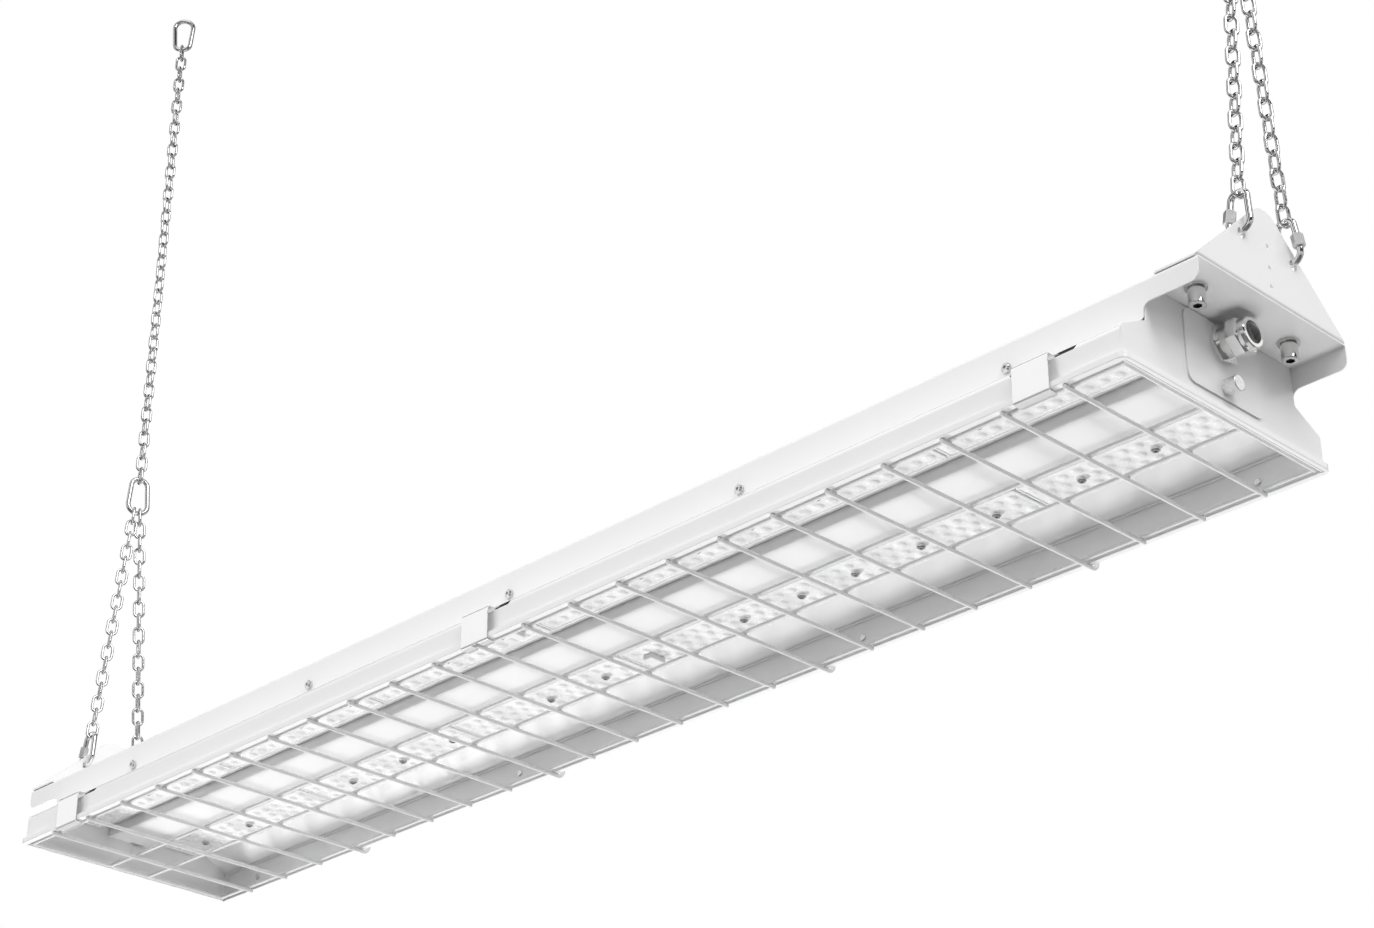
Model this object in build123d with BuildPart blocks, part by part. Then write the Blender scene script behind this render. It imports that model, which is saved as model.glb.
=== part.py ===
from build123d import *
import os
from math import atan2, cos, degrees, hypot, radians, sin, tan

os.makedirs("parts", exist_ok=True)

# ---------------------------------------------------------------- dimensions, mm
# Chains
chain_wire = 3.0            # wire diameter of the chain
chain_pitch = 16.70474      # link-to-link pitch when taut
chain_slack = 0.25          # play at each link contact
chain_inner_w = 8.0         # inside width of a link
end_inner_w = 8.6           # inside width of the wider first link, which swings on the ceiling ring
end_slack = 1.1             # play of the first link
drop_links = 38             # links in each drop chain
leg_links = 18              # links in each leg of the inverted Y
ring_wire = 5.5             # bar diameter of the pear rings
ring_h = 50.0               # outside height of a pear ring
ring_wide = 31.0            # outside width at the wide end
ring_narrow = 24.0          # outside width at the narrow end
quick_h = 44.0              # outside height of a quick link
quick_wide = 27.5           # outside width at its wide end
quick_narrow = 20.0         # outside width at its narrow end
leg_half_top = 3.4          # half distance of the two legs in the joint ring
leg_rise = 1.1              # how far up the ring's round end the legs sit
leg_turn = -31.0            # flat side of each leg's first link, degrees from X
leg_half_bottom = 35.0      # half distance of the two bracket holes
top_turn = 45.0             # the ceiling rings' flat side, degrees from X
joint_turn = 75.0           # the joint rings' flat side

# Luminaire, heights are above the rim plane
rim_half_l = 748.0
rim_half_w = 137.0
lip_h = 5.5
sheet = 1.2
wall_in_y = 130.8           # inside of the vertical band
band_z = 31.0               # inside corner of the band and the slope
shoulder_y = 99.5           # inside corner of the slope and the ceiling
ceiling_z = 47.0
housing_half_l = 741.8
channel_half_l = 741.6
plate_t = 1.5               # end plate
cover_half_l = 796.0
cover_half_w = 100.0
cover_top_z = 84.8
skirt_z = 49.6
skirt_end_z = 63.5
notch_x = 742.0
bracket_t = 2.5
bracket_in_x = 755.0
tab_r = 21.0
tab_c_z = 148.0
hole_r = 5.0                # bracket hole for a pear ring
hole_play = 0.5             # from the top of the ring bar to the top of the hole
bar_z = 133.75              # centre of the ring bar in the bracket hole
fix_hole_z = (97.5, 115.0, 135.0)
screw_x, screw_y = 767.0, 62.0
cover_screw_x = (-598.0, -297.0, 4.0, 305.0, 606.0)
cover_screw_z = 60.0
gland_z, plug_z = 65.0, 26.0

# Guard
wire_d = 4.0
cross_pitch = 62.5
end_wire_x = 738.0
end_wire_y = 127.5          # half length of the end wires, clear of the back wall as the guard swings
cross_front_y, cross_back_y = 135.0, 130.0
long_y = (-125.0, -25.0, 25.0, 125.0)
hook_x = (-500.0, -187.5, 187.5, 500.0)
hook_r = 7.5 + 0.05

# Clips
clip_x = (-658.0, 0.0, 658.0)
clip_w = 36.0
clip_t = 0.8

# LED strips
strip_y = 68.0
strip_w = 55.0
screw_row = {-1: -69.5, 1: 66.5}
module_l, modules = 247.0, 6
strip_screw_x = (-694, -614, -433, -350, -271, -121, -42, 147, 221, 288, 367, 454, 548, 626)

# ---------------------------------------------------------------- levels
rw = ring_wire / 2
ring_c_h = ring_h - ring_wire                       # height of the ring's centre line
quick_c_h = quick_h - ring_wire                     # the same of a quick link
leg_from_bar = quick_c_h - rw + chain_pitch * leg_links  # bar centre to the joint contact
leg_top_x = leg_half_top * cos(radians(joint_turn))
leg_top_y = leg_half_top * sin(radians(joint_turn))
leg_dy = hypot(leg_half_bottom - leg_top_y, leg_top_x)
leg_dz = (leg_from_bar ** 2 - leg_dy ** 2) ** 0.5
leg_tilt = degrees(atan2(leg_dy, leg_dz))
joint_in_bottom = bar_z + leg_dz                    # contact of the legs in the joint ring
joint_in_top = joint_in_bottom - leg_rise + ring_h - 2 * ring_wire
top_in_bottom = joint_in_top + chain_pitch * drop_links
hang = top_in_bottom + ring_h - 2 * ring_wire       # inside top of the ceiling ring
zr = -hang                                          # rim plane; the origin is at the ceiling rings
chain_x = cover_half_l - bracket_t / 2
print("rim plane z", round(zr, 3), "leg tilt", round(leg_tilt, 3), "joint contact", round(joint_in_bottom, 2))
print("side swing axis z", round(top_in_bottom - hang, 3), "lengthwise axis z", round(top_in_bottom - hang - chain_pitch, 3),
      "bracket axis z", round(zr + bar_z, 3))


def save(builder, name):
    builder.part.label = name
    export_step(builder.part, "parts/" + name + ".step")


# ---------------------------------------------------------------- one chain link, long axis Z, flat in XZ
link_r = (chain_inner_w + chain_wire) / 2
link_half = (chain_pitch + chain_slack - chain_inner_w) / 2
with BuildPart() as link:
    with BuildLine(Plane.XZ) as link_path:
        Line((link_r, 0), (link_r, link_half))
        RadiusArc((link_r, link_half), (0, link_half + link_r), -link_r)
    with BuildSketch(Plane.XY):
        with Locations((link_r, 0)):
            Circle(chain_wire / 2)
    sweep()
    mirror(about=Plane.YZ)
    mirror(about=Plane.XY)

# wider first link
end_r = (end_inner_w + chain_wire) / 2
end_half = (chain_pitch + end_slack - end_inner_w) / 2
with BuildPart() as end_link:
    with BuildLine(Plane.XZ):
        Line((end_r, 0), (end_r, end_half))
        RadiusArc((end_r, end_half), (0, end_half + end_r), -end_r)
    with BuildSketch(Plane.XY):
        with Locations((end_r, 0)):
            Circle(chain_wire / 2)
    sweep()
    mirror(about=Plane.YZ)
    mirror(about=Plane.XY)


def link_places(top, bottom, first, count, total, turn0, twist):
    """Places of links number first..first+count-1 of a run of `total` from top to bottom."""
    d = bottom - top
    u = d.normalized()
    places = []
    for i in range(first, first + count):
        c = top + u * (chain_pitch * (i + 0.5))
        ang = turn0 + 90.0 * i + twist * i
        xd = Vector(cos(radians(ang)), sin(radians(ang)), 0)
        zd = -u
        xd = (xd - zd * xd.dot(zd)).normalized()
        places.append(Plane(origin=c, x_dir=xd, z_dir=zd).location)
    return places


# ---------------------------------------------------------------- pear ring, wide end down, flat in XZ, wide bar centre at 0
wn = (ring_narrow - ring_wire) / 2
ww = (ring_wide - ring_wire) / 2
with BuildPart() as pear:
    with BuildLine(Plane.XZ) as pear_path:
        FilletPolyline((0, 0), (ww, 0), (wn, ring_c_h), (0, ring_c_h), radius=[11.0, 8.0])
    with BuildSketch(Plane.YZ):
        Circle(rw)
    sweep()
    mirror(about=Plane.YZ)

# quick link: a smaller ring with a gap in one side, which a threaded sleeve closes
qn = (quick_narrow - ring_wire) / 2
qw = (quick_wide - ring_wire) / 2
side_dir = Vector(qn - qw, 0, quick_c_h).normalized()
side_mid = Vector(qw, 0, 0) + Vector(qn - qw, 0, quick_c_h) * 0.455
sleeve_l = 12.0
sleeve_travel = 8.0
with BuildPart() as quick_ring:
    with BuildLine(Plane.XZ):
        FilletPolyline((0, 0), (qw, 0), (qn, quick_c_h), (0, quick_c_h), radius=[9.5, 6.0])
    with BuildSketch(Plane.YZ):
        Circle(rw)
    sweep()
    mirror(about=Plane.YZ)
with BuildPart() as quick_link:
    add(quick_ring.part)
    with Locations(Plane(origin=side_mid, x_dir=(0, 1, 0), z_dir=side_dir).location):
        Cylinder(rw + 1.0, 7.0, mode=Mode.SUBTRACT)
    # threaded stub that the sleeve turns on
    with Locations(Plane(origin=side_mid, x_dir=(0, 1, 0), z_dir=side_dir).location):
        Cylinder(rw - 0.6, 7.0, align=(Align.CENTER, Align.CENTER, Align.CENTER))
    with Locations(Plane(origin=side_mid + side_dir * -2.9, x_dir=(0, 1, 0), z_dir=side_dir).location):
        Cylinder(rw + 1.0, 1.2, mode=Mode.SUBTRACT)
with BuildPart() as sleeve:
    with BuildSketch(Plane(origin=side_mid - side_dir * (sleeve_l / 2), x_dir=(0, 1, 0), z_dir=side_dir)):
        RegularPolygon(4.6, 6, major_radius=False)
        Circle(rw + 0.08, mode=Mode.SUBTRACT)
    extrude(amount=sleeve_l)
    chamfer(sleeve.edges().filter_by(GeomType.LINE).filter_by(lambda e: abs(e.tangent_at(0.5).dot(side_dir)) < 0.01), 0.5)

# ---------------------------------------------------------------- the two chain sets
drop_twist = -60.0 / (drop_links - 1)

sets = (("left", -chain_x), ("right", chain_x))
built = {}
for side, x in sets:
    z_top0 = top_in_bottom - hang
    # ceiling ring, wide end up
    with BuildPart() as top_link:
        with Locations(Location((x, 0, rw), (0, 0, top_turn)) * Location((0, 0, 0), (180, 0, 0))):
            add(pear.part)
    save(top_link, side + "_top_link")

    run_top = Vector(x, 0, z_top0)
    run_bottom = Vector(x, 0, joint_in_top - hang)
    with BuildPart() as first_link:
        with Locations(link_places(run_top, run_bottom, 0, 1, drop_links, top_turn + 90.0, drop_twist)):
            add(end_link.part)
    save(first_link, side + "_first_link")

    with BuildPart() as drop_chain:
        with Locations(link_places(run_top, run_bottom, 1, drop_links - 1, drop_links, top_turn + 90.0, drop_twist)):
            add(link.part)
    save(drop_chain, side + "_drop_chain")

    with BuildPart() as joint_link:
        with Locations(Location((x, 0, joint_in_bottom - leg_rise - hang - rw), (0, 0, joint_turn))):
            add(pear.part)
    save(joint_link, side + "_joint_link")

    for place, sy, flip in (("front", -1, 180.0), ("back", 1, 0.0)):
        bar = Vector(x, sy * leg_half_bottom, zr + bar_z)
        jn = Vector(x + sy * leg_top_x, sy * leg_top_y, joint_in_bottom - hang)
        up = (jn - bar).normalized()
        leg_bottom = bar + up * (quick_c_h - rw)
        leg_top = leg_bottom + up * (chain_pitch * leg_links)
        with BuildPart() as leg:
            with Locations(link_places(leg_top, leg_bottom, 0, leg_links, leg_links, leg_turn, 11.0 / (leg_links - 1))):
                add(link.part)
        save(leg, side + "_" + place + "_leg")
        at = Plane(origin=bar, x_dir=(cos(radians(flip)), 0, 0), z_dir=up).location
        with BuildPart() as lower_link:
            with Locations(at):
                add(quick_link.part)
        save(lower_link, side + "_" + place + "_link")
        with BuildPart() as lower_sleeve:
            with Locations(at):
                add(sleeve.part)
        save(lower_sleeve, side + "_" + place + "_sleeve")
        if side == "left":
            tip = at * Location(side_dir)
            base = at * Location((0, 0, 0))
            a = tip.position - base.position
            print(place, "sleeve axis", [round(v, 5) for v in (a.X, a.Y, a.Z)])

# ---------------------------------------------------------------- housing: one folded trough that is the reflector
with BuildPart() as housing:
    with BuildSketch(Plane.YZ.offset(-housing_half_l)):
        with BuildLine():
            FilletPolyline((-wall_in_y, zr), (-wall_in_y, zr + band_z), (-shoulder_y, zr + ceiling_z),
                           (shoulder_y, zr + ceiling_z), (wall_in_y, zr + band_z), (wall_in_y, zr), radius=6.0)
            offset(amount=sheet, side=Side.LEFT)
        make_face()
    extrude(amount=2 * housing_half_l)
    # slots for the guard clips
    for cx in clip_x:
        with BuildSketch(Plane.XZ.offset(wall_in_y - 8)):
            with Locations((cx + 7.5, zr + 31.2)):
                SlotOverall(clip_w + 31.0, 6.4)
        extrude(amount=12.0, mode=Mode.SUBTRACT)
    # rivet holes of the back wall
    with Locations(*[Plane(origin=(rx, wall_in_y + sheet, zr + 13.5), z_dir=(0, 1, 0)) for rx in (-680, -238, 238, 680)]):
        Hole(1.85, depth=4)
save(housing, "housing")

# rim: flange with a turned-up lip round the mouth
with BuildPart() as rim:
    with BuildSketch(Plane.XY.offset(zr)):
        RectangleRounded(2 * rim_half_l, 2 * rim_half_w, 8.0)
        Rectangle(2 * (housing_half_l + plate_t + 0.15), 2 * (wall_in_y + sheet + 0.05), mode=Mode.SUBTRACT)
    extrude(amount=sheet)
    with BuildSketch(Plane.XY.offset(zr)):
        RectangleRounded(2 * rim_half_l, 2 * rim_half_w, 8.0)
        RectangleRounded(2 * (rim_half_l - sheet), 2 * (rim_half_w - sheet), 8.0 - sheet, mode=Mode.SUBTRACT)
    extrude(amount=lip_h)
    fillet(rim.edges().group_by(Axis.Z)[0].filter_by(lambda e: abs(e.center().X) > rim_half_l - 9 or abs(e.center().Y) > rim_half_w - 0.01), 0.8)
save(rim, "rim_frame")

# back wall rivets
with BuildPart() as rivets:
    with BuildSketch(Plane.XY):
        with BuildLine():
            Polyline((0, -1.6), (3.6, -1.6), (3.6, 0), (1.8, 0), (1.8, sheet + 0.05), (3.4, sheet + 0.05), (3.4, sheet + 1.2), (0, sheet + 1.2), close=True)
        make_face()
    revolve(axis=Axis.Y)
    fillet(rivets.edges().sort_by(Axis.Y)[0], 1.2)
with BuildPart() as wall_rivets:
    with Locations(*[Location((rx, wall_in_y, zr + 13.5)) for rx in (-680, -238, 238, 680)]):
        add(rivets.part)
save(wall_rivets, "wall_rivets")

# ---------------------------------------------------------------- end plates
neck_y = cover_half_w - sheet - 0.2
end_x = housing_half_l + 0.05


def end_outline():
    w = wall_in_y + sheet
    return [(-w, zr), (-w, zr + band_z + 0.8), (-neck_y, zr + ceiling_z + 1.6), (-neck_y, zr + cover_top_z - sheet - 0.1),
            (neck_y, zr + cover_top_z - sheet - 0.1), (neck_y, zr + ceiling_z + 1.6), (w, zr + band_z + 0.8), (w, zr)]


for side, sx in (("left", -1), ("right", 1)):
    with BuildPart() as end_plate:
        with BuildSketch(Plane.YZ.offset(end_x if sx > 0 else -end_x - plate_t)) as end_sk:
            with BuildLine():
                Polyline(*end_outline(), close=True)
            make_face()
            fillet(end_sk.vertices().filter_by(lambda v: 20 < v.Z - zr < 60), 7.0)
            fillet(end_sk.vertices().filter_by(lambda v: v.Z - zr > 80), 3.0)
        extrude(amount=plate_t)
        if sx > 0:
            with BuildSketch(Plane.YZ.offset(end_x - 1)):
                with Locations((0, zr + gland_z)):
                    Circle(12.7)
                with Locations((0, zr + plug_z)):
                    Circle(5.2)
            extrude(amount=plate_t + 2, mode=Mode.SUBTRACT)
        else:
            # round knock-out, half cut through from the inside
            with BuildSketch(Plane.YZ.offset(-end_x - 0.8)):
                with Locations((9, zr + 27.0)):
                    Circle(8.8)
                    Circle(8.0, mode=Mode.SUBTRACT)
            extrude(amount=1.6, mode=Mode.SUBTRACT)
    save(end_plate, side + "_end_plate")

face_x = end_x + plate_t + 0.05
pad_t = 1.6
with BuildPart() as gland_plate:
    with BuildSketch(Plane.YZ.offset(face_x)) as gp:
        with Locations((0, zr + 15)):
            Rectangle(100, 67, align=(Align.CENTER, Align.MIN))
        fillet(gp.vertices().group_by(Axis.Z)[0], 9.0)
    extrude(amount=pad_t)
    with BuildSketch(Plane.YZ.offset(face_x - 1)):
        with Locations((0, zr + gland_z)):
            Circle(12.7)
        with Locations((0, zr + plug_z)):
            Circle(5.2)
    extrude(amount=pad_t + 2, mode=Mode.SUBTRACT)
save(gland_plate, "gland_plate")
with BuildPart() as blank_plate:
    with BuildSketch(Plane.YZ.offset(-face_x - pad_t)) as bp:
        with Locations((0, zr + 15)):
            Rectangle(100, 67, align=(Align.CENTER, Align.MIN))
        fillet(bp.vertices().group_by(Axis.Z)[0], 9.0)
    extrude(amount=pad_t)
save(blank_plate, "blank_plate")

# ---------------------------------------------------------------- top cover: inverted channel over the gear space
with BuildPart() as cover:
    with BuildSketch(Plane.YZ.offset(-cover_half_l)):
        with BuildLine():
            FilletPolyline((-cover_half_w, zr + skirt_z), (-cover_half_w, zr + cover_top_z),
                           (cover_half_w, zr + cover_top_z), (cover_half_w, zr + skirt_z), radius=3.0)
            offset(amount=sheet, side=Side.RIGHT)
        make_face()
    extrude(amount=2 * cover_half_l)
    for sx in (-1, 1):
        with BuildSketch(Plane.XZ.offset(-150)) as notch:
            with Locations((sx * (notch_x + 40), zr + skirt_end_z - 20)):
                Rectangle(80, 40)
        extrude(amount=300, mode=Mode.SUBTRACT)
    ends = cover.edges().filter_by(Axis.Y).filter_by(lambda e: abs(e.center().Z - (zr + skirt_end_z)) < 0.01 and e.length < 3)
    fillet(ends, 8.0)
    toes = cover.edges().filter_by(Axis.Y).filter_by(lambda e: abs(e.center().Z - (zr + skirt_z)) < 0.01 and abs(abs(e.center().X) - notch_x) < 0.01 and e.length < 3)
    fillet(toes, 3.5)
    with Locations(*[Plane(origin=(sx, sy * cover_half_w, zr + cover_screw_z), z_dir=(0, sy, 0)) for sx in cover_screw_x for sy in (-1, 1)]):
        Hole(2.7, depth=5)
    with Locations(*[Plane(origin=(sx * screw_x, sy * screw_y, zr + cover_top_z), z_dir=(0, 0, 1)) for sx in (-1, 1) for sy in (-1, 1)]):
        Hole(4.3, depth=5)
save(cover, "top_cover")

# inner rails that the cover is screwed to
for place, sy in (("front", -1), ("back", 1)):
    with BuildPart() as rail:
        with BuildSketch(Plane.YZ.offset(-735)):
            with BuildLine():
                Polyline((sy * neck_y, zr + 49.2 + 0.6), (sy * neck_y, zr + 74), (sy * (neck_y - sheet), zr + 74), (sy * (neck_y - sheet), zr + 51.0),
                         (sy * 80, zr + 51.0), (sy * 80, zr + 49.8), close=True)
            make_face()
        extrude(amount=1470)
        with Locations(*[Plane(origin=(sx, sy * neck_y, zr + cover_screw_z), z_dir=(0, sy, 0)) for sx in cover_screw_x]):
            Hole(2.55, depth=5)
    save(rail, place + "_rail")

# pan head screws through the skirts
with BuildPart() as pan_screw:
    with BuildSketch(Plane.XY):
        with BuildLine():
            Polyline((0, -3.6), (3.2, -3.6), (4.6, -2.2), (4.6, 0), (2.5, 0), (2.5, 8.0), (1.7, 9.0), (0, 9.0), close=True)
        make_face()
    revolve(axis=Axis.Y)
    with BuildSketch(Plane.XZ.offset(3.6)):
        RegularPolygon(1.6, 6)
    extrude(amount=-1.8, mode=Mode.SUBTRACT)
with BuildPart() as cover_screws:
    with Locations(*[Location((sx, -cover_half_w - 0.02, zr + cover_screw_z)) for sx in cover_screw_x]):
        add(pan_screw.part)
    with Locations(*[Location((sx, cover_half_w + 0.02, zr + cover_screw_z), (0, 0, 180)) for sx in cover_screw_x]):
        add(pan_screw.part)
save(cover_screws, "cover_screws")

# ---------------------------------------------------------------- suspension brackets: flat foot and folded-up tab
plate_z = cover_top_z + 0.02
tab_tan = radians(degrees(atan2(tab_c_z - plate_z, cover_half_w)) + degrees(atan2(tab_r, (hypot(tab_c_z - plate_z, cover_half_w) ** 2 - tab_r ** 2) ** 0.5)))
tx, tz = -tab_r * sin(tab_tan), tab_r * cos(tab_tan)
with BuildPart() as right_bracket:
    with BuildSketch(Plane.XZ.offset(-cover_half_w)):
        with BuildLine():
            FilletPolyline((bracket_in_x, zr + plate_z), (cover_half_l, zr + plate_z), (cover_half_l, zr + 175), radius=4.0)
            offset(amount=bracket_t, side=Side.LEFT)
        make_face()
    extrude(amount=2 * cover_half_w)
    with BuildSketch(Plane.YZ.offset(bracket_in_x - 20)):
        with BuildLine():
            Line((-cover_half_w, zr + plate_z - 1), (-cover_half_w, zr + plate_z + 1.5))
            Line((-cover_half_w, zr + plate_z + 1.5), (tx, zr + tab_c_z + tz))
            ThreePointArc((tx, zr + tab_c_z + tz), (0, zr + tab_c_z + tab_r), (-tx, zr + tab_c_z + tz))
            Line((-tx, zr + tab_c_z + tz), (cover_half_w, zr + plate_z + 1.5))
            Line((cover_half_w, zr + plate_z + 1.5), (cover_half_w, zr + plate_z - 1))
            Line((cover_half_w, zr + plate_z - 1), (-cover_half_w, zr + plate_z - 1))
        make_face()
    extrude(amount=80, mode=Mode.INTERSECT)
    with Locations(*[Plane(origin=(cover_half_l, sy * leg_half_bottom, zr + bar_z + rw + hole_play - hole_r), z_dir=(1, 0, 0)) for sy in (-1, 1)]):
        Hole(hole_r, depth=6)
    with Locations(*[Plane(origin=(cover_half_l, 0, zr + hz), z_dir=(1, 0, 0)) for hz in fix_hole_z]):
        Hole(2.25, depth=6)
    with Locations(*[Plane(origin=(screw_x, sy * screw_y, zr + plate_z + bracket_t), z_dir=(0, 0, 1)) for sy in (-1, 1)]):
        Hole(4.3, depth=6)
save(right_bracket, "right_bracket")
with BuildPart() as left_bracket:
    add(right_bracket.part.mirror(Plane.YZ))
save(left_bracket, "left_bracket")

# barrel-headed socket screws, washers and nuts that clamp the brackets
under_z = cover_top_z - sheet
with BuildPart() as barrel:
    with BuildSketch(Plane.XZ):
        with BuildLine():
            Polyline((0, -17.2), (7.2, -17.2), (7.2, -2.2), (4.0, -2.2), (4.0, 12.5), (3.2, 13.5), (0, 13.5), close=True)
        make_face()
    revolve(axis=Axis.Z)
    fillet(barrel.edges().filter_by(GeomType.CIRCLE).sort_by(Axis.Z)[0], 1.0)
    with BuildSketch(Plane.XY.offset(-17.2)):
        RegularPolygon(4.0, 6)
    extrude(amount=7, mode=Mode.SUBTRACT)
with BuildPart() as washer:
    with BuildSketch(Plane.XY.offset(-2.15)):
        Circle(9.4)
        Circle(4.3, mode=Mode.SUBTRACT)
    extrude(amount=2.1)
    fillet(washer.edges().filter_by(GeomType.CIRCLE).filter_by(lambda e: e.radius > 9), 0.5)
with BuildPart() as nut:
    with BuildSketch(Plane.XY.offset(0.05)):
        RegularPolygon(6.5, 6, major_radius=False)
        Circle(4.05, mode=Mode.SUBTRACT)
    extrude(amount=6.5)
spots = [(sx * screw_x, sy * screw_y) for sx in (-1, 1) for sy in (-1, 1)]
with BuildPart() as bracket_screws:
    with Locations(*[Location((px, py, zr + under_z)) for px, py in spots]):
        add(barrel.part)
save(bracket_screws, "bracket_screws")
with BuildPart() as bracket_washers:
    with Locations(*[Location((px, py, zr + under_z)) for px, py in spots]):
        add(washer.part)
save(bracket_washers, "bracket_washers")
with BuildPart() as bracket_nuts:
    with Locations(*[Location((px, py, zr + plate_z + bracket_t)) for px, py in spots]):
        add(nut.part)
save(bracket_nuts, "bracket_nuts")

# ---------------------------------------------------------------- cable gland and vent plug on the right end
gx = face_x + pad_t + 0.03
gland_ax = Plane(origin=(gx, 0, zr + gland_z), x_dir=(0, 1, 0), z_dir=(1, 0, 0))
with BuildPart() as gland_body:
    with BuildSketch(gland_ax):
        RegularPolygon(16.0, 6, major_radius=False, rotation=12)
    extrude(amount=4.2)
    chamfer(gland_body.faces().sort_by(Axis.X)[-1].edges(), 0.7)
    with BuildSketch(gland_ax.offset(4.2)):
        Circle(13.6)
    extrude(amount=7.8)
    with BuildSketch(gland_ax.offset(12.0)):
        Circle(12.2)
    extrude(amount=8.0)
    with BuildSketch(gland_ax):
        Circle(12.45)
    extrude(amount=-13.0)
    with BuildSketch(gland_ax.offset(-13.0)):
        Circle(9.0)
    extrude(amount=24.0, mode=Mode.SUBTRACT)
    with BuildSketch(gland_ax.offset(11.0)):
        Circle(10.8)
    extrude(amount=12.0, mode=Mode.SUBTRACT)
save(gland_body, "gland_body")
with BuildPart() as gland_locknut:
    with BuildSketch(Plane(origin=(end_x - 0.05, 0, zr + gland_z), x_dir=(0, 1, 0), z_dir=(-1, 0, 0))):
        RegularPolygon(15.0, 6, major_radius=False)
        Circle(12.55, mode=Mode.SUBTRACT)
    extrude(amount=5.0)
save(gland_locknut, "gland_locknut")
with BuildPart() as gland_nut:
    with BuildSketch(gland_ax.offset(12.2)):
        RegularPolygon(14.8, 6, major_radius=False, rotation=20)
    extrude(amount=11.0)
    chamfer(gland_nut.edges().filter_by(lambda e: abs(e.tangent_at(0.5).X) < 0.01), 0.8)
    with BuildSketch(Plane.XZ):
        with BuildLine():
            Polyline((gx + 22.0, zr + gland_z), (gx + 22.0, zr + gland_z + 14.2), (gx + 26.5, zr + gland_z + 14.2),
                     (gx + 29.4, zr + gland_z + 13.6), (gx + 30.2, zr + gland_z + 12.8), (gx + 30.2, zr + gland_z), close=True)
        make_face()
    revolve(axis=Axis((gx, 0, zr + gland_z), (1, 0, 0)))
    with BuildSketch(gland_ax.offset(12.2)):
        Circle(12.3)
    extrude(amount=8.0, mode=Mode.SUBTRACT)
    with BuildSketch(gland_ax.offset(20.0)):
        Circle(10.9)
    extrude(amount=7.0, mode=Mode.SUBTRACT)
    with BuildSketch(gland_ax.offset(26.0)):
        Circle(10.0)
    extrude(amount=5.0, mode=Mode.SUBTRACT)
save(gland_nut, "gland_dome_nut")
with BuildPart() as gland_seal:
    with BuildSketch(gland_ax.offset(11.1)):
        Circle(10.7)
        Circle(7.0, mode=Mode.SUBTRACT)
    extrude(amount=9.6)
save(gland_seal, "gland_seal")
plug_ax = Plane(origin=(gx, 0, zr + plug_z), x_dir=(0, 1, 0), z_dir=(1, 0, 0))
with BuildPart() as vent_plug:
    with BuildSketch(plug_ax):
        Circle(7.1)
    extrude(amount=13.0)
    fillet(vent_plug.edges().filter_by(GeomType.CIRCLE).sort_by(Axis.X)[-1], 0.8)
    with BuildSketch(plug_ax):
        Circle(5.0)
    extrude(amount=-8.0)
save(vent_plug, "vent_plug")

# ---------------------------------------------------------------- inside the mouth: wiring channel, boards and lens plates
with BuildPart() as centre_channel:
    with BuildSketch(Plane.YZ.offset(-channel_half_l)):
        with BuildLine():
            FilletPolyline((-29.5, zr + ceiling_z - 0.1), (-29.5, zr + 35.3), (29.5, zr + 35.3), (29.5, zr + ceiling_z - 0.1), radius=1.8)
            offset(amount=1.0, side=Side.LEFT)
        make_face()
    extrude(amount=2 * channel_half_l)
    # tab notches at both ends of the flat side
    for sx in (-1, 1):
        with Locations((sx * channel_half_l, -sx * 7.0, zr + 35.8)):
            Box(5.0, 16.0, 3.0, mode=Mode.SUBTRACT)
save(centre_channel, "centre_channel")

for place, sy in (("front", -1), ("back", 1)):
    with BuildPart() as board:
        with BuildSketch(Plane.XY.offset(zr + ceiling_z - 1.65)):
            with GridLocations(module_l, 1, modules, 1):
                with Locations((0, sy * strip_y)):
                    Rectangle(module_l - 0.6, strip_w)
            with Locations(*[(sx, screw_row[sy]) for sx in strip_screw_x]):
                Circle(1.7, mode=Mode.SUBTRACT)
        extrude(amount=1.6)
    save(board, place + "_led_boards")
    with BuildPart() as lens:
        with BuildSketch(Plane.XY.offset(zr + ceiling_z - 5.2)):
            with GridLocations(module_l, 1, modules, 1):
                with Locations((0, sy * strip_y)):
                    RectangleRounded(module_l - 2.0, strip_w - 2.0, 3.0)
            with Locations(*[(sx, screw_row[sy]) for sx in strip_screw_x]):
                Circle(1.7, mode=Mode.SUBTRACT)
        extrude(amount=3.5)
    save(lens, place + "_lens_plates")

with BuildPart() as strip_screw:
    with BuildSketch(Plane.XZ):
        with BuildLine():
            Polyline((0, -3.0), (3.0, -3.0), (4.2, -1.8), (4.2, 0), (1.5, 0), (1.5, 9.0), (0, 9.0), close=True)
        make_face()
    revolve(axis=Axis.Z)
    with BuildSketch(Plane.XY.offset(-3.0)):
        RegularPolygon(1.7, 6)
    extrude(amount=1.6, mode=Mode.SUBTRACT)
with BuildPart() as strip_screws:
    with Locations(*[Location((sx, screw_row[sy], zr + ceiling_z - 5.25)) for sx in strip_screw_x for sy in (-1, 1)]):
        add(strip_screw.part)
save(strip_screws, "strip_screws")
with BuildPart() as strip_holes:
    add(housing.part)
    with Locations(*[Plane(origin=(sx, screw_row[sy], zr + ceiling_z + sheet), z_dir=(0, 0, 1)) for sx in strip_screw_x for sy in (-1, 1)]):
        Hole(1.55, depth=3)
save(strip_holes, "housing")

with BuildPart() as connectors:
    with BuildSketch(Plane.XY.offset(zr + ceiling_z - 10.4)):
        with Locations((25, strip_y), (-25, -strip_y)):
            Rectangle(11, 19)
    extrude(amount=5.15)
    chamfer(connectors.edges().group_by(Axis.Z)[0], 0.8)
save(connectors, "board_connectors")

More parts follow.
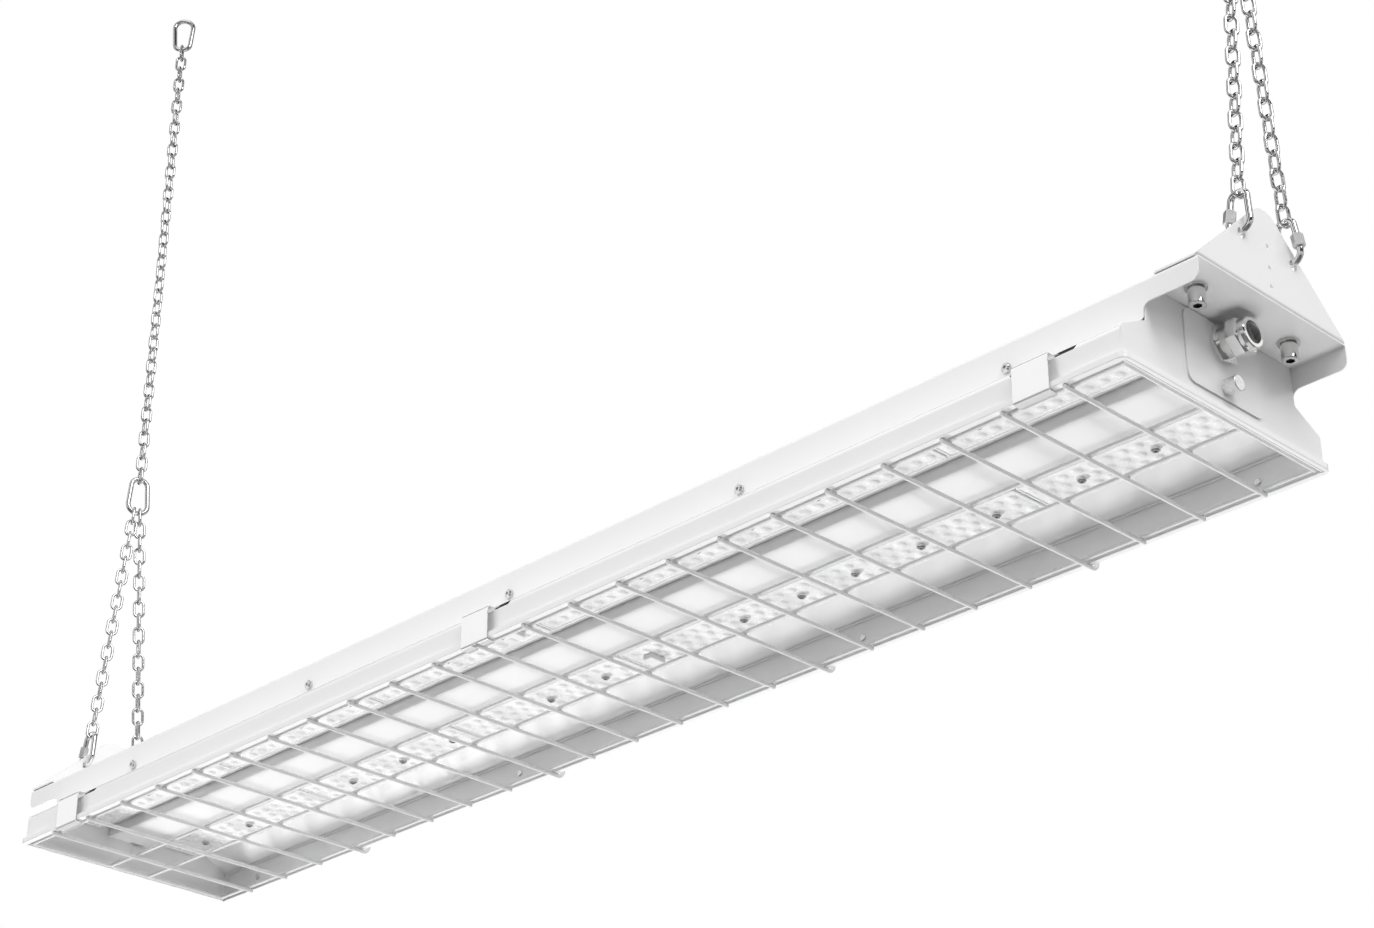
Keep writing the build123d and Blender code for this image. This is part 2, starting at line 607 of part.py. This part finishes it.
# ---------------------------------------------------------------- gear space: drivers, terminal block and loom
gear_z = zr + ceiling_z + sheet
for name, cx in (("left_led_driver", -330.0), ("right_led_driver", 330.0)):
    with BuildPart() as driver:
        with BuildSketch(Plane.XY.offset(gear_z + 0.05)):
            with Locations((cx, 0)):
                Rectangle(300, 60)
        extrude(amount=1.5)
        with BuildSketch(Plane.XY.offset(gear_z + 1.55)):
            with Locations((cx, 0)):
                RectangleRounded(262, 60, 3)
        extrude(amount=27)
        fillet(driver.faces().sort_by(Axis.Z)[-1].edges(), 1.5)
        with Locations(*[Plane(origin=(cx + dx, 0, gear_z + 1.55), z_dir=(0, 0, 1)) for dx in (-142, 142)]):
            Hole(2.3, depth=5)
    save(driver, name)
with BuildPart() as terminal:
    with BuildSketch(Plane.XY.offset(gear_z + 0.05)):
        with Locations((640, 0)):
            Rectangle(34, 54)
    extrude(amount=20)
    with BuildSketch(Plane.XY.offset(gear_z + 20.05)):
        with GridLocations(1, 10, 1, 5):
            with Locations((640, 0)):
                Circle(3.0)
    extrude(amount=-9, mode=Mode.SUBTRACT)
save(terminal, "terminal_block")
with BuildPart() as loom:
    with BuildLine():
        FilletPolyline((622.9, 12, gear_z + 8), (585, 12, gear_z + 8), (545, 44, gear_z + 8), (-500, 44, gear_z + 8), radius=40)
    with BuildSketch(Plane(origin=(622.9, 12, gear_z + 8), z_dir=(-1, 0, 0))):
        Circle(3.5)
    sweep()
save(loom, "wiring_loom")

# ---------------------------------------------------------------- wire guard
cross_x = [cross_pitch * k for k in range(-11, 12)]
with BuildPart() as cross_wires:
    with Locations(*[Location((cx, (cross_back_y - cross_front_y) / 2, zr - wire_d / 2 - 0.05), (90, 0, 0)) for cx in cross_x if cx not in hook_x]):
        Cylinder(wire_d / 2, cross_front_y + cross_back_y)
    with Locations(*[Location((sx * end_wire_x, 0, zr + wire_d / 2), (90, 0, 0)) for sx in (-1, 1)]):
        Cylinder(wire_d / 2, 2 * end_wire_y)
    fillet(cross_wires.edges().filter_by(GeomType.CIRCLE), 0.6)
save(cross_wires, "guard_cross_wires")
with BuildPart() as long_wires:
    with Locations(*[Location((0, ly, zr + wire_d / 2), (0, 90, 0)) for ly in long_y]):
        Cylinder(wire_d / 2, 2 * (end_wire_x - wire_d / 2 - 0.05))
    fillet(long_wires.edges().filter_by(GeomType.CIRCLE), 0.6)
save(long_wires, "guard_long_wires")
# hooked cross wires that carry the guard on the back lip
hz0 = zr - wire_d / 2 - 0.05
with BuildPart() as hook_wire:
    with BuildLine(Plane.YZ) as hook_path:
        Line((-135, hz0), (rim_half_w, hz0))
        CenterArc((rim_half_w, hz0 + hook_r), hook_r, -90, 105)
    with BuildSketch(Plane(origin=(0, -135, hz0), z_dir=(0, 1, 0))):
        Circle(wire_d / 2)
    sweep()
with BuildPart() as guard_hooks:
    with Locations(*[Location((hx, 0, 0)) for hx in hook_x]):
        add(hook_wire.part)
save(guard_hooks, "guard_hook_wires")
print("guard hinge", rim_half_w, round(hz0 + hook_r, 3))

# ---------------------------------------------------------------- spring clips on the front
clip_cy, clip_cz = -135.5, 29.0
clip_ri = 2.5
for name, cx in zip(("left_clip", "middle_clip", "right_clip"), clip_x):
    with BuildPart() as clip:
        with BuildSketch(Plane.YZ.offset(cx - clip_w / 2)):
            with BuildLine():
                FilletPolyline((-123.5, zr + clip_cz + clip_ri), (clip_cy - clip_ri, zr + clip_cz + clip_ri),
                               (clip_cy - clip_ri, zr - 1.4), (-128.4, zr - 1.4), (-128.0, zr - 2.9), radius=[clip_ri, 1.6, 0.4])
                offset(amount=clip_t, side=Side.RIGHT)
            make_face()
        extrude(amount=clip_w)
        if cx == 0.0:
            with Locations((0, -132.4, zr - 1.5)):
                Box(9, 10.2, 6, mode=Mode.SUBTRACT)
    save(clip, name)
print("clip hinge", clip_cy, round(zr + clip_cz, 3))
print("done")
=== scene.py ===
import math

import bmesh
import bpy
from mathutils import Matrix, Vector


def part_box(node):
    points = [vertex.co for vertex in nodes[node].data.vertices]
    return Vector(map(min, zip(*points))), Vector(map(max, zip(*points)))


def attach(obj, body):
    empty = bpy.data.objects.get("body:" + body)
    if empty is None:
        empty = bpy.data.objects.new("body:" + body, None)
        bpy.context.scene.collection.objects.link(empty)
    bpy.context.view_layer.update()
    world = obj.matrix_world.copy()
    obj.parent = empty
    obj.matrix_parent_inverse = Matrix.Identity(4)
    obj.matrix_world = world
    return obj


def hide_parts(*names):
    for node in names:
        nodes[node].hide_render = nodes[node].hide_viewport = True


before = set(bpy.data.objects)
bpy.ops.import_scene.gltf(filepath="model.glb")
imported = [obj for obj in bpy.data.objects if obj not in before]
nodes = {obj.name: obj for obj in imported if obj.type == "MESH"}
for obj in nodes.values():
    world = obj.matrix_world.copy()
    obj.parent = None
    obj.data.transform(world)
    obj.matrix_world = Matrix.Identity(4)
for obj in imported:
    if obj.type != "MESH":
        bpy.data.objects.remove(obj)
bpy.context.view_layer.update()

MM = 0.001
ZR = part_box("rim_frame")[0][2]          # rim plane, metres
scene = bpy.context.scene

# ------------------------------------------------------------------ materials


def new_material(name):
    m = bpy.data.materials.new(name)
    m.use_nodes = True
    nt = m.node_tree
    nt.nodes.clear()
    out = nt.nodes.new("ShaderNodeOutputMaterial")
    b = nt.nodes.new("ShaderNodeBsdfPrincipled")
    nt.links.new(b.outputs["BSDF"], out.inputs["Surface"])
    return m, nt, b


def coords(nt, scale=(1.0, 1.0, 1.0), rot=(0.0, 0.0, 0.0)):
    tc = nt.nodes.new("ShaderNodeTexCoord")
    mp = nt.nodes.new("ShaderNodeMapping")
    mp.inputs["Scale"].default_value = scale
    mp.inputs["Rotation"].default_value = rot
    nt.links.new(tc.outputs["Object"], mp.inputs["Vector"])
    return mp.outputs["Vector"]


def noise(nt, vec, scale, detail=3.0, rough=0.5):
    n = nt.nodes.new("ShaderNodeTexNoise")
    n.inputs["Scale"].default_value = scale
    n.inputs["Detail"].default_value = detail
    n.inputs["Roughness"].default_value = rough
    nt.links.new(vec, n.inputs["Vector"])
    return n.outputs["Fac"]


def ramp(nt, fac, stops):
    r = nt.nodes.new("ShaderNodeValToRGB")
    els = r.color_ramp.elements
    els[0].position, els[0].color = stops[0][0], (*stops[0][1], 1.0)
    els[1].position, els[1].color = stops[-1][0], (*stops[-1][1], 1.0)
    for p, c in stops[1:-1]:
        e = els.new(p)
        e.color = (*c, 1.0)
    nt.links.new(fac, r.inputs["Fac"])
    return r.outputs["Color"]


def remap(nt, fac, lo, hi, a=0.3, b=0.7):
    r = nt.nodes.new("ShaderNodeMapRange")
    r.inputs["From Min"].default_value = a
    r.inputs["From Max"].default_value = b
    r.inputs["To Min"].default_value = lo
    r.inputs["To Max"].default_value = hi
    nt.links.new(fac, r.inputs["Value"])
    return r.outputs["Result"]


def bump(nt, b, height, strength, distance):
    n = nt.nodes.new("ShaderNodeBump")
    n.inputs["Strength"].default_value = strength
    n.inputs["Distance"].default_value = distance
    nt.links.new(height, n.inputs["Height"])
    nt.links.new(n.outputs["Normal"], b.inputs["Normal"])


def coat_paint(name, lo, hi, r_lo, r_hi, peel=0.12, coat=0.0):
    """Powder coat: nearly even colour, slight cloudiness, fine orange peel."""
    m, nt, b = new_material(name)
    v = coords(nt)
    cloud = noise(nt, v, 7.0, 4.0)
    nt.links.new(ramp(nt, cloud, [(0.3, lo), (0.7, hi)]), b.inputs["Base Color"])
    nt.links.new(remap(nt, noise(nt, v, 38.0, 3.0), r_lo, r_hi), b.inputs["Roughness"])
    bump(nt, b, noise(nt, v, 620.0, 2.0), peel, 0.00012)
    b.inputs["Specular IOR Level"].default_value = 0.5
    b.inputs["Coat Weight"].default_value = coat
    b.inputs["Coat Roughness"].default_value = 0.12
    return m


def plated(name, lo, hi, r_lo, r_hi, grain=420.0, strength=0.08, stretch=(1.0, 1.0, 1.0), metal=1.0):
    """Plated or bare metal with a fine grain."""
    m, nt, b = new_material(name)
    v = coords(nt, stretch)
    nt.links.new(ramp(nt, noise(nt, v, 60.0, 5.0), [(0.25, lo), (0.75, hi)]), b.inputs["Base Color"])
    nt.links.new(remap(nt, noise(nt, v, 150.0, 4.0), r_lo, r_hi), b.inputs["Roughness"])
    bump(nt, b, noise(nt, v, grain, 3.0), strength, 0.00008)
    b.inputs["Metallic"].default_value = metal
    return m


def moulded(name, lo, hi, r_lo, r_hi, grain=900.0, strength=0.15):
    """Moulded plastic or elastomer with a fine spark texture."""
    m, nt, b = new_material(name)
    v = coords(nt)
    nt.links.new(ramp(nt, noise(nt, v, 40.0, 3.0), [(0.3, lo), (0.7, hi)]), b.inputs["Base Color"])
    nt.links.new(remap(nt, noise(nt, v, 200.0, 2.0), r_lo, r_hi), b.inputs["Roughness"])
    bump(nt, b, noise(nt, v, grain, 2.0), strength, 0.0001)
    return m


white = coat_paint("white_powder_coat", (0.872, 0.872, 0.872), (0.882, 0.882, 0.882), 0.31, 0.34, 0.02, 0.25)
reflector = coat_paint("reflector_gloss_white", (0.87, 0.87, 0.87), (0.90, 0.90, 0.90), 0.16, 0.22, 0.04, 0.7)
wire_white = coat_paint("guard_wire_coat", (0.82, 0.82, 0.82), (0.86, 0.86, 0.86), 0.24, 0.32, 0.06, 0.3)
chain_zinc = plated("chain_zinc", (0.72, 0.72, 0.72), (0.80, 0.80, 0.80), 0.08, 0.15, 300.0, 0.03)
screw_zinc = plated("screw_zinc", (0.66, 0.66, 0.655), (0.72, 0.72, 0.715), 0.10, 0.16, 300.0, 0.02)
nickel = plated("gland_nickel", (0.82, 0.817, 0.812), (0.88, 0.877, 0.872), 0.07, 0.12, 300.0, 0.02)
clip_steel = plated("clip_bright", (0.95, 0.95, 0.95), (0.97, 0.97, 0.97), 0.07, 0.11, 260.0, 0.01, metal=0.6)
rim_white = coat_paint("rim_coat", (0.92, 0.92, 0.92), (0.935, 0.935, 0.935), 0.28, 0.32, 0.02, 0.3)
seal_grey = moulded("seal_grey", (0.42, 0.42, 0.42), (0.50, 0.50, 0.50), 0.45, 0.6, 500.0, 0.1)
screw_dark = plated("screw_steel", (0.60, 0.60, 0.60), (0.70, 0.70, 0.70), 0.22, 0.30, 300.0, 0.03)
cover_zinc = plated("cover_screw_zinc", (0.68, 0.68, 0.68), (0.76, 0.76, 0.76), 0.26, 0.34, 300.0, 0.03)
sleeve_zinc = plated("sleeve_zinc", (0.80, 0.80, 0.80), (0.86, 0.86, 0.86), 0.42, 0.52, 300.0, 0.03)
alu = plated("plug_aluminium", (0.84, 0.84, 0.84), (0.88, 0.88, 0.88), 0.24, 0.30, 300.0, 0.02)
board = moulded("board_white_mask", (0.78, 0.78, 0.77), (0.84, 0.84, 0.83), 0.38, 0.5)
case = moulded("driver_case", (0.62, 0.62, 0.62), (0.70, 0.70, 0.70), 0.45, 0.6)
terminal = moulded("terminal_plastic", (0.66, 0.66, 0.63), (0.74, 0.74, 0.71), 0.35, 0.5)
loom = moulded("loom_sheath", (0.55, 0.55, 0.55), (0.63, 0.63, 0.63), 0.45, 0.6, 500.0)
# near-black pad colour: painted shade for the dark gap behind the clip slots, not a real seal or part
slot_shade_black = moulded("seal_rubber", (0.014, 0.014, 0.014), (0.024, 0.024, 0.024), 0.6, 0.75, 500.0, 0.2)


def lens_material():
    m, nt, b = new_material("lens_clear")
    v = coords(nt)
    nt.links.new(ramp(nt, noise(nt, v, 25.0, 3.0), [(0.3, (0.90, 0.902, 0.905)), (0.7, (0.935, 0.936, 0.938))]), b.inputs["Base Color"])
    nt.links.new(remap(nt, noise(nt, v, 120.0, 2.0), 0.22, 0.30), b.inputs["Roughness"])
    bump(nt, b, noise(nt, v, 260.0, 2.0), 0.05, 0.0001)
    b.inputs["IOR"].default_value = 1.49
    b.inputs["Transmission Weight"].default_value = 0.06
    return m


lens = lens_material()


def give(name, mat):
    o = nodes[name]
    if not o.material_slots:
        o.data.materials.append(mat)
    for s in o.material_slots:
        s.material = mat


for n in ("top_cover", "left_end_plate", "right_end_plate", "gland_plate", "blank_plate", "left_bracket", "right_bracket",
          "front_rail", "back_rail"):
    give(n, white)
give("rim_frame", rim_white)
for n in ("housing", "centre_channel"):
    give(n, reflector)
for n in ("guard_cross_wires", "guard_long_wires", "guard_hook_wires"):
    give(n, wire_white)
for n in ("bracket_screws", "bracket_washers", "bracket_nuts"):
    give(n, screw_zinc)
give("strip_screws", screw_dark)
give("cover_screws", cover_zinc)
give("wall_rivets", screw_zinc)
for n in ("gland_body", "gland_locknut", "gland_dome_nut"):
    give(n, nickel)
give("gland_seal", seal_grey)
give("vent_plug", alu)
for n in ("left_clip", "middle_clip", "right_clip"):
    give(n, clip_steel)
for side in ("left", "right"):
    for n in ("top_link", "first_link", "drop_chain", "joint_link", "front_leg", "back_leg", "front_link", "back_link", "front_sleeve", "back_sleeve"):
        give(side + "_" + n, sleeve_zinc if n.endswith("sleeve") else chain_zinc)
for p in ("front", "back"):
    give(p + "_led_boards", board)
    give(p + "_lens_plates", lens)
give("board_connectors", board)
for n in ("left_led_driver", "right_led_driver"):
    give(n, case)
give("terminal_block", terminal)
give("wiring_loom", loom)

# ------------------------------------------------------------------ camera
az, el = math.radians(45.349), math.radians(27.615)
fwd = Vector((-math.sin(az) * math.cos(el), math.cos(az) * math.cos(el), math.sin(el)))
cam_data = bpy.data.cameras.new("camera")
cam_data.sensor_fit = "HORIZONTAL"
cam_data.sensor_width = 36.0
cam_data.lens = 2923.1 / 1374.0 * 36.0
cam_data.clip_end = 60.0
cam = bpy.data.objects.new("camera", cam_data)
scene.collection.objects.link(cam)
cam.location = (1.8819, -1.7225, ZR - 1.098)
cam.rotation_euler = fwd.to_track_quat("-Z", "Y").to_euler()
scene.camera = cam

# ------------------------------------------------------------------ lens plates with their lenses
MODULE, PLATE_L, PLATE_W = 247.0, 245.0, 53.0
STRIP_Y, SCREW_Y = 68.0, {-1: -69.5, 1: 66.5}
SCREW_X = (-694, -614, -433, -350, -271, -121, -42, 147, 221, 288, 367, 454, 548, 626)
PLATE_LO, PLATE_HI = 41.8, 45.3
ROWS = (-14.5, 0.0, 14.5)
PITCH = 16.0
FIELD = PLATE_LO + 0.6
DOME = ((5.6, 0.0), (5.2, 0.27), (4.5, 0.68), (3.5, 1.08), (2.4, 1.35), (1.2, 1.52))
DOME_TOP = 1.6


def ring(bm, cx, cy, r, z, seg):
    return [bm.verts.new(((cx + r * math.cos(2 * math.pi * i / seg)) * MM, (cy + r * math.sin(2 * math.pi * i / seg)) * MM, ZR + z * MM)) for i in range(seg)]


def loop_edges(bm, vs):
    return [bm.edges.new((vs[i], vs[(i + 1) % len(vs)])) for i in range(len(vs))]


def band(bm, a, b):
    n = len(a)
    for i in range(n):
        bm.faces.new((a[i], a[(i + 1) % n], b[(i + 1) % n], b[i]))


def outline(bm, cx, cy, w, h, r, z, inset):
    vs = []
    w2, h2, rr = w / 2 - inset, h / 2 - inset, max(r - inset, 0.4)
    for sx, sy, a0 in ((1, 1, 0), (-1, 1, 90), (-1, -1, 180), (1, -1, 270)):
        for k in range(5):
            a = math.radians(a0 + 22.5 * k)
            vs.append(bm.verts.new(((cx + sx * (w2 - rr) + rr * math.cos(a)) * MM, (cy + sy * (h2 - rr) + rr * math.sin(a)) * MM, ZR + z * MM)))
    return vs


def fill(bm, loops):
    edges = []
    for vs in loops:
        for i in range(len(vs)):
            e = bm.edges.get((vs[i], vs[(i + 1) % len(vs)]))
            edges.append(e if e else bm.edges.new((vs[i], vs[(i + 1) % len(vs)])))
    bmesh.ops.triangle_fill(bm, use_beauty=True, use_dissolve=False, edges=edges)


def lens_strip(name, sy):
    bm = bmesh.new()
    screws = [(x, SCREW_Y[sy]) for x in SCREW_X]
    for k in range(-3, 3):
        cx, cy = MODULE * (k + 0.5), sy * STRIP_Y
        bottom = outline(bm, cx, cy, PLATE_L, PLATE_W, 3.0, PLATE_LO, 0.7)
        side_lo = outline(bm, cx, cy, PLATE_L, PLATE_W, 3.0, PLATE_LO + 0.7, 0.0)
        side_hi = outline(bm, cx, cy, PLATE_L, PLATE_W, 3.0, PLATE_HI, 0.0)
        rib_in = outline(bm, cx, cy, PLATE_L, PLATE_W, 3.0, PLATE_LO, 2.3)
        field = outline(bm, cx, cy, PLATE_L, PLATE_W, 3.0, FIELD, 2.8)
        band(bm, bottom, side_lo)
        band(bm, side_lo, side_hi)
        band(bm, bottom, rib_in)
        band(bm, rib_in, field)
        low_loops, high_loops = [field], [side_hi]
        mine = [(x, y) for x, y in screws if abs(x - cx) < PLATE_L / 2 - 9.5]
        for x, y in mine:
            a = ring(bm, x, y, 6.2, FIELD, 20)
            b = ring(bm, x, y, 5.7, PLATE_LO, 20)
            c = ring(bm, x, y, 1.75, PLATE_LO, 20)
            d = ring(bm, x, y, 1.75, PLATE_HI, 20)
            band(bm, a, b)
            band(bm, b, c)
            band(bm, c, d)
            low_loops.append(a)
            high_loops.append(d)
        for row, dy in enumerate(ROWS):
            n = 15 if row != 1 else 14
            for i in range(n):
                x = cx + (i - (n - 1) / 2) * PITCH
                y = cy + dy
                if any(math.hypot(x - px, y - py) < 12.2 for px, py in mine):
                    continue
                rings = [ring(bm, x, y, r, FIELD - h, 16) for r, h in DOME]
                low_loops.append(rings[0])
                for p, q in zip(rings, rings[1:]):
                    band(bm, p, q)
                tip = bm.verts.new((x * MM, y * MM, ZR + (FIELD - DOME_TOP) * MM))
                last = rings[-1]
                for j in range(len(last)):
                    bm.faces.new((last[j], last[(j + 1) % len(last)], tip))
        fill(bm, low_loops)
        fill(bm, high_loops)
    bmesh.ops.recalc_face_normals(bm, faces=bm.faces)
    me = bpy.data.meshes.new(name)
    bm.to_mesh(me)
    bm.free()
    for p in me.polygons:
        p.use_smooth = True
    me.set_sharp_from_angle(angle=math.radians(38))
    me.materials.append(lens)
    o = bpy.data.objects.new(name, me)
    scene.collection.objects.link(o)
    return o


for place, sy in (("front", -1), ("back", 1)):
    o = lens_strip(place + "_lens_array", sy)
    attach(o, "luminaire")
    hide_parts(place + "_lens_plates")

# ------------------------------------------------------------------ weld beads where the guard wires cross
WELD_Y = (-125.0, -25.0, 25.0, 125.0)
WELD_AT = [(62.5 * k, y, -0.02, 1.25) for k in range(-11, 12) for y in WELD_Y]
WELD_AT += [(sx * 735.95, y, 2.0, 1.9) for sx in (-1, 1) for y in WELD_Y]


def welds():
    bm = bmesh.new()
    seg, rows = 10, 6
    for k, (x, y, z, hh) in enumerate(WELD_AT):
        grow = 1.0 + 0.10 * math.sin(k * 1.7)
        grid = []
        for r in range(1, rows):
            th = math.pi * r / rows
            vs = []
            for s in range(seg):
                ph = 2 * math.pi * s / seg
                squeeze = 1.0 + 0.22 * math.cos(4 * ph)
                rad = 2.35 * grow * squeeze * math.sin(th)
                vs.append(bm.verts.new(((x + rad * math.cos(ph + math.pi / 4)) * MM, (y + rad * math.sin(ph + math.pi / 4)) * MM,
                                        ZR + (z + hh * math.cos(th)) * MM)))
            grid.append(vs)
        for a, b in zip(grid, grid[1:]):
            band(bm, a, b)
        top = bm.verts.new((x * MM, y * MM, ZR + (z + hh) * MM))
        low = bm.verts.new((x * MM, y * MM, ZR + (z - hh) * MM))
        for j in range(seg):
            bm.faces.new((grid[0][j], grid[0][(j + 1) % seg], top))
            bm.faces.new((grid[-1][j], grid[-1][(j + 1) % seg], low))
    bmesh.ops.recalc_face_normals(bm, faces=bm.faces)
    me = bpy.data.meshes.new("guard_weld_beads")
    bm.to_mesh(me)
    bm.free()
    for p in me.polygons:
        p.use_smooth = True
    me.materials.append(wire_white)
    o = bpy.data.objects.new("guard_weld_beads", me)
    scene.collection.objects.link(o)
    return o


beads = welds()
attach(beads, "guard")

# ------------------------------------------------------------------ dark pads behind the clip slots as painted shade, hem along the back fold


def strips(name, profile, spans, mat):
    """A closed (y, z) profile, swept along X over each span."""
    bm = bmesh.new()
    for x0, x1 in spans:
        a = [bm.verts.new((x0 * MM, y * MM, ZR + z * MM)) for y, z in profile]
        b = [bm.verts.new((x1 * MM, y * MM, ZR + z * MM)) for y, z in profile]
        band(bm, a, b)
        bm.faces.new(a)
        bm.faces.new(b)
    bmesh.ops.recalc_face_normals(bm, faces=bm.faces)
    me = bpy.data.meshes.new(name)
    bm.to_mesh(me)
    bm.free()
    me.materials.append(mat)
    o = bpy.data.objects.new(name, me)
    scene.collection.objects.link(o)
    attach(o, "luminaire")
    return o


FOLD_Y, FOLD_Z, FOLD_A = 124.8, 27.3, math.radians(62.9)


def fold_line(r, low, along):
    pts = [(-FOLD_Y - r, low)]
    for k in range(9):
        a = FOLD_A * k / 8
        pts.append((-FOLD_Y - r * math.cos(a), FOLD_Z + r * math.sin(a)))
    y, z = pts[-1]
    pts.append((y + along * math.sin(FOLD_A), z + along * math.cos(FOLD_A)))
    return pts


# dark pads behind the clip slots: painted shade that makes the slots read black
shade_pad_profile = fold_line(5.8, 24.8, 5.0) + fold_line(4.9, 24.8, 5.0)[::-1]
shade_pad_spans = [(cx + s0, cx + s1) for cx in (-658.0, 0.0, 658.0) for s0, s1 in ((-30.0, -18.7), (18.7, 45.0))]
strips("clip_slot_shade_pads", shade_pad_profile, shade_pad_spans, slot_shade_black)
hem_profile = [(128.9, 29.2), (130.4, 29.2), (129.75, 30.7), (128.9, 30.7)]
strips("back_fold_hem", hem_profile, [(-741.0, 741.0)], reflector)

# ------------------------------------------------------------------ floor, light and surroundings
floor_me = bpy.data.meshes.new("floor")
s = 14.0
floor_me.from_pydata([(-s, -s, -4.6), (s, -s, -4.6), (s, s, -4.6), (-s, s, -4.6)], [], [(0, 1, 2, 3)])
floor = bpy.data.objects.new("floor", floor_me)
scene.collection.objects.link(floor)
floor_mat, fnt, fb = new_material("floor_pale")
fv = coords(fnt)
fnt.links.new(ramp(fnt, noise(fnt, fv, 0.8, 3.0), [(0.3, (0.46, 0.46, 0.46)), (0.7, (0.50, 0.50, 0.50))]), fb.inputs["Base Color"])
fb.inputs["Roughness"].default_value = 0.7
floor_me.materials.append(floor_mat)

# dark studio cards: only polished metal and gloss see them
card_mat, cnt, cb = new_material("card_black")
cv = coords(cnt)
cnt.links.new(ramp(cnt, noise(cnt, cv, 0.8, 2.0), [(0.3, (0.012, 0.012, 0.012)), (0.7, (0.02, 0.02, 0.02))]), cb.inputs["Base Color"])
cb.inputs["Roughness"].default_value = 0.9
cb.inputs["Specular IOR Level"].default_value = 0.0
CARD_R = 7.0
for k, (a0, a1, e0, e1) in enumerate(((58, 203, 3, 68), (247, 279, 3, 60), (301, 393, 3, 68))):
    n = max(2, int((a1 - a0) / 6))
    vs, fs = [], []
    for i in range(n + 1):
        a = math.radians(a0 + (a1 - a0) * i / n)
        for e in (e0, e1):
            e = math.radians(e)
            vs.append((CARD_R * math.cos(a) * math.cos(e), CARD_R * math.sin(a) * math.cos(e), -1.0 + CARD_R * math.sin(e)))
    for i in range(n):
        fs.append((2 * i, 2 * i + 2, 2 * i + 3, 2 * i + 1))
    me = bpy.data.meshes.new("card_%d" % k)
    me.from_pydata(vs, [], fs)
    me.materials.append(card_mat)
    card = bpy.data.objects.new("card_%d" % k, me)
    scene.collection.objects.link(card)
    card.visible_camera = card.visible_diffuse = card.visible_transmission = False
    card.visible_volume_scatter = card.visible_shadow = False

# dark cards just over the floor, in front and past the right end: they take the bounce off the walls that face them
flag_me = bpy.data.meshes.new("flag_cards")
flag_me.from_pydata([(-9, -12, -4.5), (11, -12, -4.5), (11, -0.5, -4.5), (-9, -0.5, -4.5),
                     (1.4, -0.5, -4.5), (11, 6, -4.5), (1.4, 6, -4.5)], [], [(0, 1, 2, 4, 3), (4, 2, 5, 6)])
flag_me.materials.append(card_mat)
flags = bpy.data.objects.new("flag_cards", flag_me)
scene.collection.objects.link(flags)
flags.visible_camera = flags.visible_glossy = flags.visible_transmission = False
flags.visible_volume_scatter = flags.visible_shadow = False


def area(name, loc, target, size, power, spread=180.0):
    d = bpy.data.lights.new(name, "AREA")
    d.shape = "RECTANGLE"
    d.size, d.size_y = size
    d.energy = power
    d.spread = math.radians(spread)
    o = bpy.data.objects.new(name, d)
    scene.collection.objects.link(o)
    o.location = loc
    o.rotation_euler = (Vector(target) - Vector(loc)).to_track_quat("-Z", "Y").to_euler()
    return o


mid = (0.0, 0.0, -1.1)
area("right_high", (3.5, -0.8, 1.6), (0.75, 0.0, -1.1), (2.0, 2.0), 76.0)
for low in (area("key_front", (-1.6, -3.2, 3.4), mid, (2.4, 1.6), 136.0),
            area("left_below", (-4.7, 0.5, -3.95), mid, (0.9, 0.8), 250.0),
            area("below", (0.7, 0.6, -4.3), (0.4, 0.0, -1.1), (2.6, 1.2), 46.0)):
    low.visible_glossy = False

world = bpy.data.worlds.new("studio")
scene.world = world
world.use_nodes = True
wnt = world.node_tree
wnt.nodes.clear()
wout = wnt.nodes.new("ShaderNodeOutputWorld")
bg = wnt.nodes.new("ShaderNodeBackground")
wtc = wnt.nodes.new("ShaderNodeTexCoord")
sep = wnt.nodes.new("ShaderNodeSeparateXYZ")
wnt.links.new(wtc.outputs["Generated"], sep.inputs["Vector"])
half = wnt.nodes.new("ShaderNodeMapRange")
half.inputs["From Min"].default_value = -1.0
half.inputs["From Max"].default_value = 1.0
wnt.links.new(sep.outputs["Z"], half.inputs["Value"])
wr = wnt.nodes.new("ShaderNodeValToRGB")
wr.color_ramp.elements[0].position, wr.color_ramp.elements[0].color = 0.42, (0.42, 0.42, 0.42, 1.0)
wr.color_ramp.elements[1].position, wr.color_ramp.elements[1].color = 0.56, (1.0, 1.0, 1.0, 1.0)
wnt.links.new(half.outputs["Result"], wr.inputs["Fac"])
wnt.links.new(wr.outputs["Color"], bg.inputs["Color"])
bg.inputs["Strength"].default_value = 1.0
wnt.links.new(bg.outputs["Background"], wout.inputs["Surface"])

scene.view_settings.view_transform = "Standard"
scene.view_settings.look = "None"
scene.view_settings.exposure = 0.0
